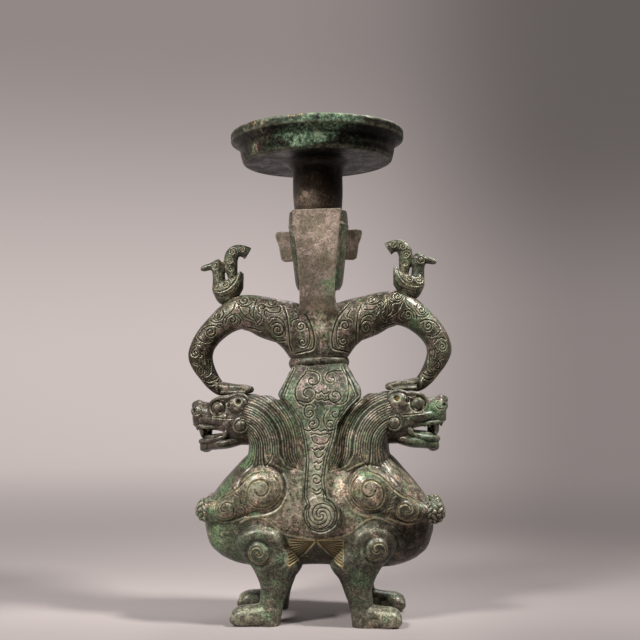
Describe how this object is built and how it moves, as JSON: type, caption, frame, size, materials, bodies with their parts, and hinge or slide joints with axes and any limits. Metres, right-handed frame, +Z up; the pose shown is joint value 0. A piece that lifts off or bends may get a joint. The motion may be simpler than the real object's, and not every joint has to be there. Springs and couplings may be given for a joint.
{
  "type": "figural oil lamp",
  "caption": "Bronze oil lamp: a robed figure standing on beasts set back to back presses its hands on their heads and carries a shallow lift-off pan on its crown.",
  "frame": {"origin": "middle of the footprint, on the surface that the feet stand on", "axes": "+Z up through the pan; the figure faces +Y; +X is to the right seen from the figure's back"},
  "size_m": [0.2392, 0.158, 0.438],
  "materials": {
    "pan_bronze": "patinated",
    "stem_bronze": "dark patina",
    "head_bronze": "speckled patina",
    "robe_bronze": "incised, patinated",
    "beast_bronze": "dark green patina",
    "leg_bronze": "green patina",
    "casting_clay": "baked clay"
  },
  "bodies": {
    "base": {"head": "head_bronze", "hair_panel": "head_bronze", "torso": "robe_bronze", "waist_belt": "robe_bronze", "skirt": "robe_bronze", "panel_back": "robe_bronze", "panel_front": "robe_bronze", "beast_body": "beast_bronze", "clay_core": "casting_clay", "ear_left": "head_bronze", "arm_left": "robe_bronze", "hand_left": "robe_bronze", "bird_left": "robe_bronze", "beast_head_left": "beast_bronze", "beast_jaw_left": "beast_bronze", "foreleg_back_left": "beast_bronze", "hind_leg_back_left": "leg_bronze", "foreleg_front_left": "beast_bronze", "hind_leg_front_left": "leg_bronze", "ear_right": "head_bronze", "arm_right": "robe_bronze", "hand_right": "robe_bronze", "bird_right": "robe_bronze", "beast_head_right": "beast_bronze", "beast_jaw_right": "beast_bronze", "foreleg_back_right": "beast_bronze", "hind_leg_back_right": "leg_bronze", "foreleg_front_right": "beast_bronze", "hind_leg_front_right": "leg_bronze"},
    "lamp_head": {"lamp_pan": "pan_bronze", "wick_spike": "pan_bronze", "pan_stem": "stem_bronze"}
  },
  "joints": [
    {"name": "lamp_head_lift", "type": "slide", "parent": "base", "child": "lamp_head", "axis": [-0.014, 0, 0.9999], "range_m": [0, 0.04]}
  ]
}
